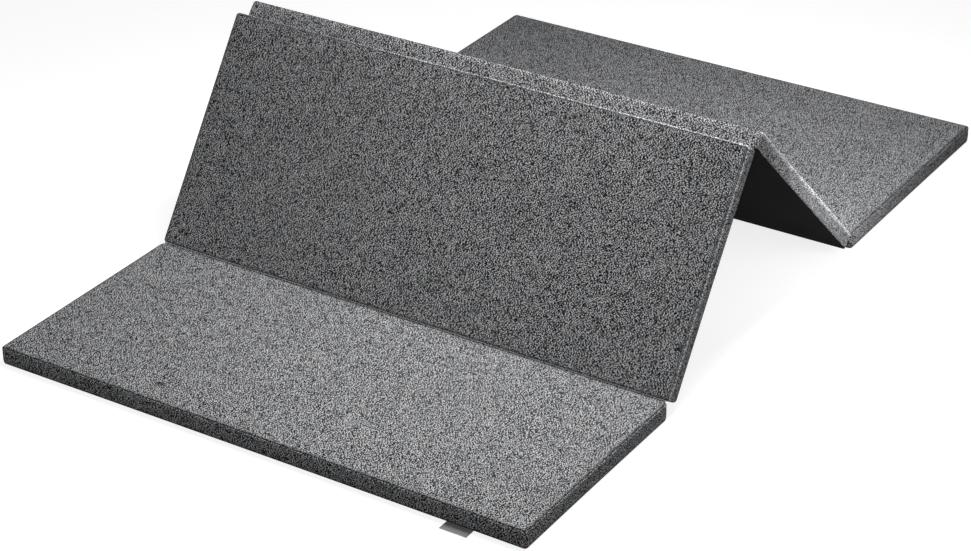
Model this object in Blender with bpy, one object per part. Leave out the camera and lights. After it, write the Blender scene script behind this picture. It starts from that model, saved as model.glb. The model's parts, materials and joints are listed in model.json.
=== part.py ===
# Folding campervan mattress: four foam panels in zip-off covers, joined by three sewn folds.
# Metres, +Z up. The mattress is 1.1 m wide along X and stands half folded, as a zig-zag along Y.
# Each panel is drawn flat in its own frame: x across, u along the mattress and n up from its underside.

import math

import bmesh
import bpy
from mathutils import Matrix, Vector

# Driving sizes of the mattress
mattress_width = 1.100
short_panel_length = 0.460
long_panel_length = 0.550
edge_thickness = 0.034
crown_height = 0.002
second_panel_pitch = math.radians(54.8)

# Cloth, and the gap kept between pieces that touch
cloth_thickness = 0.0016
base_thickness = 0.0016
touch_gap = 0.0003

# Shape of a panel's edges
corner_radius = 0.007
edge_roll = 0.0030
side_bulge = 0.0008
side_draw = 0.0008
base_inset = 0.0006
base_edge_round = 0.0005
joined_edge_share = 0.35
crown_ring_shares = (0.97, 0.86, 0.62, 0.3)
core_ring_shares = (0.86, 0.45)

# Folds
fold_gap = 0.0014
fold_rise = 0.0003
tape_height = 0.012
tape_thickness = 0.0005
tape_end_margin = 0.006

# Zip in the left end of each cover
zip_end_margin = 0.045
zip_slot_height = 0.0090
zip_tape_thickness = 0.0008
zip_tape_recess = 0.0005
chain_width = 0.0032
chain_rise = 0.0006
slider_length = 0.0100
slider_nose_length = 0.0030
slider_nose_share = 0.72
slider_wall = 0.0008
slider_plate = 0.0010
slider_width = 0.0064
slider_end_room = 0.0030
pin_radius = 0.0006
knuckle_radius = 0.0014
puller_width = 0.0036
puller_length = 0.0200
puller_thickness = 0.0010
cheek_thickness = 0.0008
cheek_half_length = 0.0013
sink_depth = 0.0002
cut_overrun = 0.004

# Label sewn into the seam at the front edge, left bare
label_width = 0.052
label_reach = 0.022
label_thickness = 0.0007
label_from_end = 0.100

corner_steps = 4
wide_side_points = 3
long_side_points = 3
roll_steps = 3
round_sides = 12

# Values worked out from the sizes above
half_width = mattress_width / 2
top_edge = edge_thickness
border_bottom = base_thickness + touch_gap
border_top = top_edge - edge_roll
tape_width = mattress_width - 2 * tape_end_margin
axis_height = top_edge + fold_rise
fold_depth = axis_height + fold_rise
zip_height = (border_bottom + border_top) / 2
slider_inside = chain_rise + touch_gap
slider_outside = slider_inside + slider_plate
pin_place = slider_outside + touch_gap + knuckle_radius
zip_reach = pin_place + knuckle_radius
label_place = half_width - label_from_end - label_width / 2


def third_panel_pitch():
    """Pitch of the third panel that brings the fourth one flat onto the floor."""
    ridge = (short_panel_length + fold_gap) * math.sin(second_panel_pitch)
    ridge -= fold_depth * math.cos(second_panel_pitch)
    run = long_panel_length + fold_gap
    return math.asin(ridge / math.hypot(run, fold_depth)) + math.atan2(fold_depth, run)


def turned(along, up, pitch):
    """A vector in the plane of the folds, turned by a pitch about X."""
    return Vector((0, along * math.cos(pitch) - up * math.sin(pitch),
                   along * math.sin(pitch) + up * math.cos(pitch)))


# Panels from front to back: length, pitch, and whether the front and back ends are joined by a fold
panels = (
    {"number": 1, "length": short_panel_length, "pitch": 0, "front_joined": False, "back_joined": True},
    {"number": 2, "length": short_panel_length, "pitch": second_panel_pitch,
     "front_joined": True, "back_joined": True},
    {"number": 3, "length": long_panel_length, "pitch": -third_panel_pitch(),
     "front_joined": True, "back_joined": True},
    {"number": 4, "length": long_panel_length, "pitch": 0, "front_joined": True, "back_joined": False},
)


def clear_scene():
    for thing in list(bpy.data.objects):
        bpy.data.objects.remove(thing, do_unlink=True)


def plain_material(name, colour, roughness, metallic=0.0):
    material = bpy.data.materials.new(name)
    material.use_nodes = True
    shader = material.node_tree.nodes["Principled BSDF"]
    shader.inputs["Base Color"].default_value = (*colour, 1.0)
    shader.inputs["Roughness"].default_value = roughness
    shader.inputs["Metallic"].default_value = metallic
    material.diffuse_color = (*colour, 1.0)
    return material


def make_materials():
    return {
        "foam": plain_material("cold_foam", (0.72, 0.66, 0.50), 0.90),
        "melange": plain_material("grey_melange_cloth", (0.210, 0.211, 0.214), 0.92),
        "base": plain_material("black_base_cloth", (0.010, 0.010, 0.011), 0.85),
        "tape": plain_material("fold_tape", (0.210, 0.211, 0.214), 0.92),
        "zip": plain_material("zip_coil_and_tape", (0.020, 0.020, 0.021), 0.55),
        "metal": plain_material("zip_metal", (0.32, 0.32, 0.33), 0.35, 1.0),
        "label": plain_material("woven_label", (0.50, 0.50, 0.50), 0.85),
    }


def mesh_object(name, vertices, faces, material, smooth=True):
    mesh = bpy.data.meshes.new(name)
    mesh.from_pydata([tuple(v) for v in vertices], [], faces)
    work = bmesh.new()
    work.from_mesh(mesh)
    bmesh.ops.recalc_face_normals(work, faces=work.faces)
    work.to_mesh(mesh)
    work.free()
    if smooth:
        mesh.shade_smooth()
        mesh.set_sharp_from_angle(angle=math.radians(40))
    thing = bpy.data.objects.new(name, mesh)
    thing.data.materials.append(material)
    bpy.context.scene.collection.objects.link(thing)
    return thing


def lofted(name, rings, material, closed_section=False):
    """A skin over rings of equal count, closed at each end by a fan or round a closed section."""
    count = len(rings[0])
    vertices = [point for ring in rings for point in ring]
    faces = []
    pairs = len(rings) if closed_section else len(rings) - 1
    for level in range(pairs):
        lower = level * count
        upper = (level + 1) % len(rings) * count
        for k in range(count):
            after = (k + 1) % count
            faces.append((lower + k, lower + after, upper + after, upper + k))
    if not closed_section:
        for level in (0, len(rings) - 1):
            ring = rings[level]
            middle = len(vertices)
            vertices.append(sum((Vector(p) for p in ring), Vector()) / count)
            for k in range(count):
                faces.append((middle, level * count + k, level * count + (k + 1) % count))
    return mesh_object(name, vertices, faces, material)


def prism(name, outline, along, start, end, material):
    """An outline in the other two axes, drawn out along one axis (0, 1 or 2)."""
    others = [axis for axis in range(3) if axis != along]
    vertices = []
    for place in (start, end):
        for first, second in outline:
            point = [0, 0, 0]
            point[along] = place
            point[others[0]] = first
            point[others[1]] = second
            vertices.append(point)
    count = len(outline)
    faces = [tuple(range(count)), tuple(range(count, 2 * count))]
    for k in range(count):
        after = (k + 1) % count
        faces.append((k, after, count + after, count + k))
    return mesh_object(name, vertices, faces, material, smooth=False)


def combined(target, helpers, operation):
    """Apply a Boolean with each helper to the target, then drop the helpers."""
    for helper in helpers:
        modifier = target.modifiers.new("combine", "BOOLEAN")
        modifier.operation = operation
        modifier.solver = "EXACT"
        modifier.object = helper
        graph = bpy.context.evaluated_depsgraph_get()
        shaped = bpy.data.meshes.new_from_object(target.evaluated_get(graph))
        target.modifiers.clear()
        target.data = shaped
        bpy.data.objects.remove(helper, do_unlink=True)
    return target


def bow_at(part):
    """How far a free side is drawn in, at a part of the way between its two corners."""
    return side_draw * (1 - (2 * part - 1) ** 2)


def panel_outline(panel, inset, roll):
    """Plan of a panel as a ring of (x, u) points, at an inset and at a roll of its edge.

    A joined end is drawn tight by its fold, so it takes only a share of the roll and stays straight.
    The left side stays straight too, because the zip stiffens it.
    """
    length = panel["length"]
    straight_x = 2 * (half_width - corner_radius)
    straight_u = length - 2 * corner_radius
    corners = ((1, "front_joined"), (1, "back_joined"), (-1, "back_joined"), (-1, "front_joined"))
    points = []
    for corner, (side, end) in enumerate(corners):
        joined = panel[end]
        end_inset = inset + roll * (joined_edge_share if joined else 1)
        centre_x = side * straight_x / 2
        centre_u = corner_radius + (straight_u if end == "back_joined" else 0)
        radius_x = corner_radius - inset - roll
        radius_u = corner_radius - end_inset
        start_angle = math.radians(-90 + 90 * corner)
        for step in range(corner_steps + 1):
            angle = start_angle + math.radians(90) * step / corner_steps
            points.append((centre_x + radius_x * math.cos(angle), centre_u + radius_u * math.sin(angle)))
        between = long_side_points if corner in (0, 2) else wide_side_points
        for step in range(1, between + 1):
            part = step / (between + 1)
            end_bow = 0 if joined else bow_at(part)
            if corner == 0:
                points.append((half_width - inset - roll - bow_at(part), corner_radius + part * straight_u))
            elif corner == 1:
                points.append((centre_x - part * straight_x, length - end_inset - end_bow))
            elif corner == 2:
                points.append((inset + roll - half_width, length - corner_radius - part * straight_u))
            else:
                points.append((centre_x + part * straight_x, end_inset + end_bow))
    return points


def ring(panel, inset, roll, height, share=1.0):
    """One ring of a panel's skin: its plan, drawn towards the panel's middle by a share."""
    middle = panel["length"] / 2
    return [Vector((x * share, middle + (u - middle) * share, height))
            for x, u in panel_outline(panel, inset, roll)]


def rolled_rings(panel, depth):
    """Rings of the top from its lower rim over the rolled edge to the crown, at a depth in the cloth."""
    rim = border_top + touch_gap
    rounding = edge_roll - depth
    rings = []
    for step in range(roll_steps + 1):
        angle = math.radians(90) * step / roll_steps
        roll = side_bulge + rounding * (1 - math.cos(angle))
        rings.append(ring(panel, depth, roll, rim + (rounding - touch_gap) * math.sin(angle)))
    for share in crown_ring_shares:
        height = top_edge - depth + crown_height * (1 - share ** 4)
        rings.append(ring(panel, depth, side_bulge + rounding, height, share))
    return rings


def top_cloth(panel, materials):
    outer = rolled_rings(panel, 0)
    inner = rolled_rings(panel, cloth_thickness)
    return lofted(f"top_cloth_{panel['number']}", outer[::-1] + inner, materials["melange"])


def border(panel, materials):
    """The band round the sides, slightly bulged, with a slot for the zip in its left end."""
    middle = (border_bottom + border_top) / 2
    levels = (border_bottom, middle, border_top)
    rolls = (side_bulge, 0, side_bulge)
    outer = [ring(panel, 0, roll, level) for roll, level in zip(rolls, levels)]
    inner = [ring(panel, cloth_thickness, roll, level) for roll, level in zip(rolls, levels)]
    band = lofted(f"border_{panel['number']}", outer + inner[::-1], materials["melange"], True)
    half_slot = zip_slot_height / 2
    sides = (-half_width - cut_overrun, -half_width + cut_overrun)
    slot = [(sides[0], zip_height - half_slot), (sides[1], zip_height - half_slot),
            (sides[1], zip_height + half_slot), (sides[0], zip_height + half_slot)]
    cutter = prism("zip_slot", slot, 1, zip_end_margin, panel["length"] - zip_end_margin,
                   materials["melange"])
    return combined(band, [cutter], "DIFFERENCE")


def base_cloth(panel, materials):
    """The flat black underside, with its edge slightly rounded where it lies on the floor."""
    rings = [
        ring(panel, base_inset + base_edge_round, side_bulge, 0),
        ring(panel, base_inset, side_bulge, base_edge_round),
        ring(panel, base_inset, side_bulge, base_thickness),
    ]
    return lofted(f"base_cloth_{panel['number']}", rings, materials["base"])


def foam_core(panel, materials):
    """The foam slab inside the cover, crowned like the top that it fills."""
    depth = cloth_thickness + touch_gap
    rounding = edge_roll - depth
    rings = [
        ring(panel, depth, side_bulge + rounding, border_bottom),
        ring(panel, depth, side_bulge, border_bottom + rounding),
    ]
    for step in range(roll_steps):
        angle = math.radians(90) * step / (roll_steps - 1)
        roll = side_bulge + rounding * (1 - math.cos(angle))
        rings.append(ring(panel, depth, roll, border_top + rounding * math.sin(angle)))
    for share in core_ring_shares:
        height = top_edge - depth + crown_height * (1 - share ** 4)
        rings.append(ring(panel, depth, side_bulge + rounding, height, share))
    return lofted(f"foam_core_{panel['number']}", rings, materials["foam"])


def zip_chain(panel, materials):
    """Zip tape in the slot, with the closed coil standing out along its middle."""
    half_tape = zip_slot_height / 2 - touch_gap
    half_chain = chain_width / 2
    face = -half_width + zip_tape_recess
    back = face + zip_tape_thickness
    crest = -half_width - chain_rise
    outline = [
        (back, zip_height - half_tape), (back, zip_height + half_tape),
        (face, zip_height + half_tape), (face, zip_height + half_chain),
        (crest, zip_height + half_chain / 2), (crest, zip_height - half_chain / 2),
        (face, zip_height - half_chain), (face, zip_height - half_tape),
    ]
    return prism(f"zip_chain_{panel['number']}", outline, 1, zip_end_margin + touch_gap,
                 panel["length"] - zip_end_margin - touch_gap, materials["zip"])


def disc(radius, middle):
    """A round outline in the x and u plane, on the line u = 0."""
    angles = [math.radians(360) * k / round_sides for k in range(round_sides)]
    return [(middle + radius * math.cos(angle), radius * math.sin(angle)) for angle in angles]


def slider_mesh(materials):
    """Slider in its own frame: -x out of the cover, u along the zip, n up; a channel with a pin on top."""
    half_channel = chain_width / 2 + touch_gap
    skirt = zip_tape_recess - touch_gap
    half = slider_length / 2
    stations = (
        (-half, 1), (half - slider_nose_length, 1), (half, slider_nose_share),
    )
    rings = []
    for place, share in stations:
        outer = half_channel + slider_wall + (slider_width / 2 - half_channel - slider_wall) * share
        section = [
            (skirt, half_channel), (-slider_inside, half_channel), (-slider_inside, -half_channel),
            (skirt, -half_channel), (skirt, -half_channel - slider_wall), (-slider_outside, -outer),
            (-slider_outside, outer), (skirt, half_channel + slider_wall),
        ]
        rings.append([Vector((x, place, n)) for x, n in section])
    count = len(rings[0])
    vertices = [point for one in rings for point in one]
    faces = [tuple(range(count)), tuple(range(2 * count, 3 * count))]
    for level in range(2):
        for k in range(count):
            after = (k + 1) % count
            faces.append((level * count + k, level * count + after,
                          (level + 1) * count + after, (level + 1) * count + k))
    body = mesh_object("slider_body", vertices, faces, materials["metal"], smooth=False)
    cheek_start = puller_width / 2 + touch_gap
    helpers = []
    for side in (-1, 1):
        outline = [
            (sink_depth - slider_outside, -cheek_half_length), (-pin_place, -cheek_half_length),
            (-pin_place - knuckle_radius, 0), (-pin_place, cheek_half_length),
            (sink_depth - slider_outside, cheek_half_length),
        ]
        ends = sorted((side * cheek_start, side * (cheek_start + cheek_thickness)))
        helpers.append(prism("slider_cheek", outline, 2, ends[0], ends[1], materials["metal"]))
    reach = cheek_start + cheek_thickness / 2
    helpers.append(prism("slider_pin", disc(pin_radius, -pin_place), 2, -reach, reach,
                         materials["metal"]))
    body = combined(body, helpers, "UNION")
    mesh = body.data
    bpy.data.objects.remove(body, do_unlink=True)
    return mesh


def puller_mesh(materials):
    """Puller about its pin, lying along +u: a round eye and a flat tab with bevelled end."""
    half = puller_thickness / 2
    first_angle = math.asin(half / knuckle_radius)
    sweep = math.radians(360) - 2 * first_angle
    outline = []
    for k in range(round_sides + 1):
        angle = first_angle + sweep * k / round_sides
        outline.append((knuckle_radius * math.sin(angle), knuckle_radius * math.cos(angle)))
    outline += [(-half, puller_length - half), (0, puller_length), (half, puller_length - half)]
    eye = prism("puller_body", outline, 2, -puller_width / 2, puller_width / 2, materials["metal"])
    hole = prism("puller_hole", disc(pin_radius + touch_gap, 0), 2, -puller_width, puller_width,
                 materials["metal"])
    eye = combined(eye, [hole], "DIFFERENCE")
    mesh = eye.data
    bpy.data.objects.remove(eye, do_unlink=True)
    return mesh


def fold_tape(number, fold_angle, materials):
    """Tape sewn to the ends of two covers, drawn about the fold's axis in the frame of the first panel.

    Its two legs lie on the ends of the two panels and meet at the axis. A positive fold angle
    closes over the mattress, so the legs hang down from the axis; a negative one opens upwards.
    """
    down = math.copysign(1, fold_angle)
    half_angle = abs(fold_angle) / 2
    clearance = fold_gap / 2 - touch_gap
    first_leg = []
    for offset in (clearance, clearance - tape_thickness):
        meeting = offset / math.sin(half_angle)
        first_leg.append((-offset, -down * tape_height))
        first_leg.append((-meeting * math.sin(half_angle), down * meeting * math.cos(half_angle)))
    outer_end, outer_tip, inner_end, inner_tip = first_leg
    second_leg = []
    for u, n in (outer_end, inner_end):
        second_leg.append((-u * math.cos(fold_angle) - n * math.sin(fold_angle),
                           -u * math.sin(fold_angle) + n * math.cos(fold_angle)))
    outline = [outer_end, outer_tip, second_leg[0], second_leg[1], inner_tip, inner_end]
    return prism(f"fold_tape_{number}", outline, 0, -tape_width / 2, tape_width / 2, materials["tape"])


def label(materials):
    """Bare woven label held in the bottom seam of the front edge, lying on the floor."""
    outer_part = (label_place + label_width / 2) / (mattress_width - 2 * corner_radius) + 1 / 2
    rear = side_bulge + base_inset + bow_at(outer_part) - touch_gap
    front = -label_reach
    outline = [(front, touch_gap), (rear, touch_gap), (rear, touch_gap + label_thickness),
               (front, touch_gap + label_thickness)]
    return prism("sewn_label", outline, 0, label_place - label_width / 2, label_place + label_width / 2,
                 materials["label"])


def holder(name, location, pitch, parent=None):
    """Empty on a joint's axis, placed in the world and kept so under its parent."""
    empty = bpy.data.objects.new(name, None)
    empty.empty_display_size = edge_thickness
    bpy.context.scene.collection.objects.link(empty)
    placed = Matrix.Translation(location) @ Matrix.Rotation(pitch, 4, "X")
    if parent:
        empty.parent = parent
    bpy.context.view_layer.update()
    empty.matrix_world = placed
    bpy.context.view_layer.update()
    return empty


def attach(thing, empty, drawn_origin):
    """Move a piece drawn in its panel's frame so that its origin lies on the axis, and parent it there."""
    thing.data.transform(Matrix.Translation(-Vector(drawn_origin)))
    thing.parent = empty


def build_zip(panel, empty, drawn_origin, meshes, materials):
    """Chain, slider and puller of one cover. The slider waits at the end that lies lower."""
    chain = zip_chain(panel, materials)
    attach(chain, empty, drawn_origin)
    room = zip_end_margin + slider_length / 2 + slider_end_room
    at_back = panel["number"] > 2
    place = panel["length"] - room if at_back else room
    turn = 0 if at_back else math.pi
    carried = Vector((-half_width, place, zip_height)) - Vector(drawn_origin)
    slider = bpy.data.objects.new(f"zip_slider_{panel['number']}", meshes["slider"])
    puller = bpy.data.objects.new(f"zip_puller_{panel['number']}", meshes["puller"])
    for thing, out in ((slider, 0), (puller, pin_place)):
        bpy.context.scene.collection.objects.link(thing)
        thing.parent = empty
        thing.location = carried + Vector((-out, 0, 0))
        thing.rotation_euler = (turn, 0, 0)


def build():
    clear_scene()
    materials = make_materials()
    meshes = {"slider": slider_mesh(materials), "puller": puller_mesh(materials)}
    first, second, third, fourth = panels
    first_to_second = Vector((0, first["length"] + fold_gap / 2, axis_height))
    second_to_third = turned(second["length"] + fold_gap, -fold_depth, second["pitch"])
    third_to_fourth = turned(third["length"] + fold_gap, fold_depth, third["pitch"])
    run = first_to_second + second_to_third + third_to_fourth
    total_depth = label_reach + run.y + fold_gap / 2 + fourth["length"]
    front = label_reach - total_depth / 2
    shift = Vector((zip_reach / 2, front, 0))
    places = [shift, shift + first_to_second, shift + first_to_second + second_to_third, shift + run]
    top_origin = (0, -fold_gap / 2, axis_height)
    origins = [(0, 0, 0), top_origin, (0, -fold_gap / 2, -fold_rise), top_origin]
    empties = []
    for panel, place, origin in zip(panels, places, origins):
        parent = empties[-1] if empties else None
        empty = holder(f"axis_of_panel_{panel['number']}", place, panel["pitch"], parent)
        empties.append(empty)
        for make in (foam_core, top_cloth, border, base_cloth):
            attach(make(panel, materials), empty, origin)
        build_zip(panel, empty, origin, meshes, materials)
    axes = ((first, axis_height), (second, -fold_rise), (third, axis_height))
    for index, (panel, height) in enumerate(axes):
        tape = fold_tape(index + 1, panels[index + 1]["pitch"] - panel["pitch"], materials)
        tape.data.transform(Matrix.Translation((0, panel["length"] + fold_gap / 2, height)))
        attach(tape, empties[index], origins[index])
    attach(label(materials), empties[0], origins[0])
    bpy.context.view_layer.update()
    for empty in empties:
        print(empty.name, [round(v, 6) for v in empty.matrix_world.translation])
    print("pitch of the third panel", round(math.degrees(third_panel_pitch()), 4))


build()
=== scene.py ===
import json
import math

import bmesh
import bpy
import numpy as np
from mathutils import Matrix, Vector


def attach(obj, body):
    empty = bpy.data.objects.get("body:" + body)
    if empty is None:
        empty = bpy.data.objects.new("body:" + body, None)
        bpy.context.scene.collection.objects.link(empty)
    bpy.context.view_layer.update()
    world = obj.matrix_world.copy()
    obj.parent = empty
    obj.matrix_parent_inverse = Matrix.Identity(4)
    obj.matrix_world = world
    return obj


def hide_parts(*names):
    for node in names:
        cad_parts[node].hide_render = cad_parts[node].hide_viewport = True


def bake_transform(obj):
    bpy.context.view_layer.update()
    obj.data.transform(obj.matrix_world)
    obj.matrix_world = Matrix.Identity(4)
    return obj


# Four-part folding mattress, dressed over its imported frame.
# Each panel is drawn flat in its own frame (x across, u along, n up) and then set in its place.

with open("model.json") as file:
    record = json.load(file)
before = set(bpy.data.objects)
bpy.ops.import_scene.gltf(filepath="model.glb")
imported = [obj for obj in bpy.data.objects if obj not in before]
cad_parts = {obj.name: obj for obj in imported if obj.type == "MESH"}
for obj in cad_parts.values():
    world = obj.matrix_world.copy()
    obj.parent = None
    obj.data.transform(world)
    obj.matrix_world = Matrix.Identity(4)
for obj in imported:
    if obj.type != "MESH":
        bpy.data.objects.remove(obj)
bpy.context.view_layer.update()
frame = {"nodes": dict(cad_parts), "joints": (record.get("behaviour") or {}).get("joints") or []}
print("frame loaded,", len(frame["nodes"]), "nodes")

mattress = {  # metres and degrees, as in the part's source but for joinedShare and drawReach
    "halfWidth": 0.550,
    "topEdge": 0.034,
    "crown": 0.002,
    "cornerRadius": 0.007,
    "edgeRoll": 0.0030,
    "sideBulge": 0.0008,
    "sideDraw": 0.0008,
    "drawReach": 0.10,  # how far in from an end its draw is felt
    "joinedShare": 0.62,  # of the roll, on an end that a fold joins
    "seamHeight": 0.0310,
    "coverBottom": 0.0019,
    "baseThickness": 0.0016,
    "baseInset": 0.0006,
    "foldGap": 0.0014,
    "touchGap": 0.0003,
    "axisOverTop": 0.0343,
    "axisUnderBase": -0.0003,
    "zipHeight": 0.01645,
    "zipEnd": 0.045,
    "frontPlace": (0.0025, -0.852609, 0.0),
    "secondPitch": 54.8,
    "thirdPitch": -43.8559,
}

panels = [dict(zip(("number", "length", "pitch", "axis"), row)) for row in (
    (1, 0.460, 0.0, None),
    (2, 0.460, mattress["secondPitch"], mattress["axisOverTop"]),
    (3, 0.550, mattress["thirdPitch"], mattress["axisUnderBase"]),
    (4, 0.550, 0.0, mattress["axisOverTop"]),
)]
halfWidth = mattress["halfWidth"]
foldAxes = {joint["name"]: Vector(joint["pos_m"]) for joint in frame["joints"]
            if joint["name"].startswith("fold_")}


def panelMatrix(panel):  # from the panel's own frame to the row frame
    turn = Matrix.Rotation(math.radians(panel["pitch"]), 4, "X")
    if panel["axis"] is None:
        return Matrix.Translation(mattress["frontPlace"]) @ turn
    drawnAt = Vector((0, -mattress["foldGap"] / 2, panel["axis"]))
    return Matrix.Translation(foldAxes[f"fold_{panel['number'] - 1}"]) @ turn @ Matrix.Translation(-drawnAt)


# ---- Node trees

def grey(tone):
    return (tone, tone, tone, 1)


def mathsOn(operation, turned=False):  # a method that adds a Math node for its wire
    def method(wire, *others):
        values = (wire, *others)
        return wire.bench.maths(operation, *(values[::-1] if turned else values))

    return method


class Wire:  # one output of a node, with the operators that shader maths is written in
    def __init__(self, bench, socket):
        self.bench = bench
        self.socket = socket

    __add__, __radd__ = mathsOn("ADD"), mathsOn("ADD", turned=True)
    __sub__, __rsub__ = mathsOn("SUBTRACT"), mathsOn("SUBTRACT", turned=True)
    __mul__, __rmul__ = mathsOn("MULTIPLY"), mathsOn("MULTIPLY", turned=True)
    __truediv__, __rtruediv__ = mathsOn("DIVIDE"), mathsOn("DIVIDE", turned=True)
    __pow__, __gt__, __lt__ = mathsOn("POWER"), mathsOn("GREATER_THAN"), mathsOn("LESS_THAN")
    floor, fract, sine, absolute = (mathsOn(kind) for kind in ("FLOOR", "FRACT", "SINE", "ABSOLUTE"))


class Bench:  # the node tree of a material, or of the world
    def __init__(self, name, kind="materials"):
        self.owner = getattr(bpy.data, kind).new(name)
        self.owner.use_nodes = True
        self.tree = self.owner.node_tree
        self.tree.nodes.clear()

    def node(self, kind, settings=None, sockets=None, output=0):
        made = self.tree.nodes.new(kind)
        for key, value in (settings or {}).items():
            if key == "stops":
                self.setStops(made.color_ramp, value)
            else:
                setattr(made, key, value)
        for key, value in (sockets or {}).items():
            if isinstance(value, Wire):
                self.tree.links.new(value.socket, made.inputs[key])
            else:
                made.inputs[key].default_value = value
        return Wire(self, made.outputs[output]) if made.outputs else None

    def maths(self, operation, *values):
        return self.node("ShaderNodeMath", {"operation": operation}, dict(enumerate(values)))

    def setStops(self, ramp, stops):
        ramp.elements[0].position = stops[0][0]
        ramp.elements[1].position = stops[-1][0]
        for place, tone in stops[1:-1]:
            ramp.elements.new(place)
        for element, (place, tone) in zip(ramp.elements, stops):
            element.color = grey(tone)

    def plan(self):  # the cloth's own coordinates, in metres along its threads
        flat = self.node("ShaderNodeUVMap", {"uv_map": "clothPlan"})
        return [self.node("ShaderNodeSeparateXYZ", sockets={0: flat}, output=side) for side in (0, 1)]

    def place(self):  # the point in the row frame
        return self.node("ShaderNodeTexCoord", output="Object")

    def vector(self, x, y, z=0.0):
        return self.node("ShaderNodeCombineXYZ", sockets={0: x, 1: y, 2: z})

    def noise(self, where, scale=1.0, detail=2.0, roughness=0.5):
        return self.node("ShaderNodeTexNoise", {"noise_dimensions": "3D"},
                         {"Vector": where, "Scale": scale, "Detail": detail, "Roughness": roughness})

    def chance(self, where):  # a random number for each cell
        return self.node("ShaderNodeTexWhiteNoise", {"noise_dimensions": "3D"}, {"Vector": where})

    def ramp(self, value, stops):
        return self.node("ShaderNodeValToRGB", {"stops": stops}, {"Fac": value})

    def mix(self, share, first, second, blend="MIX"):
        return self.node("ShaderNodeMix", {"data_type": "RGBA", "blend_type": blend},
                         {0: share, 6: first, 7: second}, output=2)

    def scaled(self, colour, factor):
        return self.node("ShaderNodeVectorMath", {"operation": "SCALE"}, {0: colour, "Scale": factor})

    def bump(self, height, distance, strength):
        return self.node("ShaderNodeBump", sockets={"Height": height, "Distance": distance, "Strength": strength})

    def finish(self, constants, colour, roughness=None, normal=None, metallic=None):
        sockets = dict(constants)
        sockets["Base Color"] = colour
        for key, value in (("Roughness", roughness), ("Normal", normal), ("Metallic", metallic)):
            if value is not None:
                sockets[key] = value
        shader = self.node("ShaderNodeBsdfPrincipled", sockets=sockets)
        self.node("ShaderNodeOutputMaterial", sockets={"Surface": shader})
        return self.owner


# ---- Camera, floor and light

photoView = {
    "pixels": (971, 551),
    "focal": 2695.1,  # in pixels of the photograph's width
    "place": (2.4180, -3.8503, 2.4638),
    "azimuth": 32.873,
    "elevation": 29.079,
    "roll": -0.589,
}


def makeCamera():
    azimuth, elevation, roll = (math.radians(photoView[key]) for key in ("azimuth", "elevation", "roll"))
    back = Vector((math.sin(azimuth) * math.cos(elevation), -math.cos(azimuth) * math.cos(elevation),
                   math.sin(elevation)))
    right = Vector((math.cos(azimuth), math.sin(azimuth), 0))
    up = back.cross(right)
    tiltedRight = math.cos(roll) * right + math.sin(roll) * up
    tiltedUp = math.cos(roll) * up - math.sin(roll) * right
    data = bpy.data.cameras.new("photoCamera")
    data.sensor_width = 36
    data.lens = photoView["focal"] * data.sensor_width / photoView["pixels"][0]
    data.clip_end = 60
    camera = bpy.data.objects.new("photoCamera", data)
    bpy.context.scene.collection.objects.link(camera)
    turn = Matrix((tiltedRight, tiltedUp, back)).transposed().to_4x4()
    camera.matrix_world = Matrix.Translation(photoView["place"]) @ turn
    bpy.context.scene.camera = camera


studio = {
    "ambient": 0.235,
    "floorSeen": 0.50,  # albedo of the floor where the camera sees it
    "floorGlow": 0.82,
    "floorBounce": 0.24,  # albedo of the floor for light that it throws on the mattress
    "floorHalf": 30,
    "floorHeight": -0.0003,
}
lamps = {  # place, aim, size, watts, and spread in degrees
    "keyLight": ((0.40, 0.40, 2.30), (0.27, -0.50, 0.0), (0.7, 1.4), 13.6, 84.0),
    "rimLight": ((0.90, 0.21, 0.23), (0.55, 0.20, 0.17), (0.3, 0.25), 0.68, 130.0),
}


def areaLight(name, place, aim, size, power, spread):
    data = bpy.data.lights.new(name, "AREA")
    data.shape = "RECTANGLE"
    data.size, data.size_y = size
    data.energy = power
    data.spread = math.radians(spread)
    lamp = bpy.data.objects.new(name, data)
    lamp.location = place
    lamp.visible_camera = False
    lamp.rotation_euler = (Vector(place) - Vector(aim)).to_track_quat("Z", "Y").to_euler()
    bpy.context.scene.collection.objects.link(lamp)


def seenDirectly(bench):  # 1 for rays that show a background
    camera, glossy, through = (bench.node("ShaderNodeLightPath", output=f"Is {ray} Ray")
                               for ray in ("Camera", "Glossy", "Transmission"))
    return bench.maths("MAXIMUM", bench.maths("MAXIMUM", camera, glossy), through)


def makeWorld():
    bench = Bench("studioWorld", "worlds")
    soft = bench.node("ShaderNodeBackground", sockets={"Color": grey(1), "Strength": studio["ambient"]})
    white = bench.node("ShaderNodeBackground", sockets={"Color": grey(1)})
    both = bench.node("ShaderNodeMixShader", sockets={0: seenDirectly(bench), 1: soft, 2: white})
    bench.node("ShaderNodeOutputWorld", sockets={"Surface": both})
    bpy.context.scene.world = bench.owner


def makeFloor():
    bench = Bench("paleFloor")
    seen = bench.node("ShaderNodeBsdfDiffuse", sockets={"Color": grey(studio["floorSeen"])})
    glow = bench.node("ShaderNodeEmission", sockets={"Strength": studio["floorGlow"]})
    pale = bench.node("ShaderNodeAddShader", sockets={0: seen, 1: glow})
    bounce = bench.node("ShaderNodeBsdfDiffuse", sockets={"Color": grey(studio["floorBounce"])})
    both = bench.node("ShaderNodeMixShader", sockets={0: seenDirectly(bench), 1: bounce, 2: pale})
    bench.node("ShaderNodeOutputMaterial", sockets={"Surface": both})
    half, height = studio["floorHalf"], studio["floorHeight"]
    mesh = bpy.data.meshes.new("studioFloor")
    corners = [(x * half, y * half, height) for x, y in ((-1, -1), (1, -1), (1, 1), (-1, 1))]
    mesh.from_pydata(corners, [], [(0, 1, 2, 3)])
    mesh.materials.append(bench.owner)
    floor = bpy.data.objects.new("studioFloor", mesh)
    bpy.context.scene.collection.objects.link(floor)


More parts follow.
